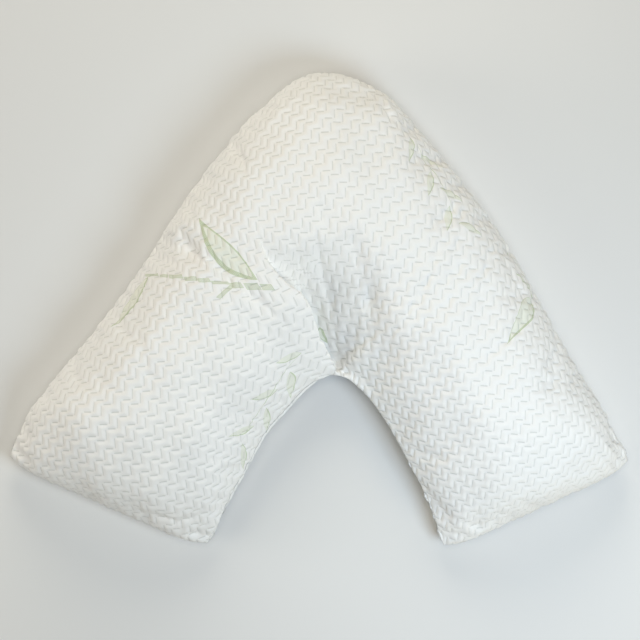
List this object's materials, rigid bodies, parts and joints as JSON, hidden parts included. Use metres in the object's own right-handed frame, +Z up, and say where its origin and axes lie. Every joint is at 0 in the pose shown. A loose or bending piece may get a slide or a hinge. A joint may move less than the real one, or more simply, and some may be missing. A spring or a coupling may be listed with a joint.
{
  "type": "v shaped pillow",
  "caption": "V shaped support pillow: two plump arms meeting at a rounded point, in a quilted knit cover, lying on its back.",
  "frame": {"origin": "under the middle of the pillow's outline box, on the surface that it rests on", "axes": "+Z up, out of the front panel; +Y towards the point of the V; +X along the width across both arm ends"},
  "size_m": [0.9952, 0.7576, 0.1702],
  "materials": {
    "knit_cover": "matte quilted knit, off white with a pale green leaf print"
  },
  "bodies": {
    "root": {"v_pillow": "knit_cover"}
  },
  "joints": []
}
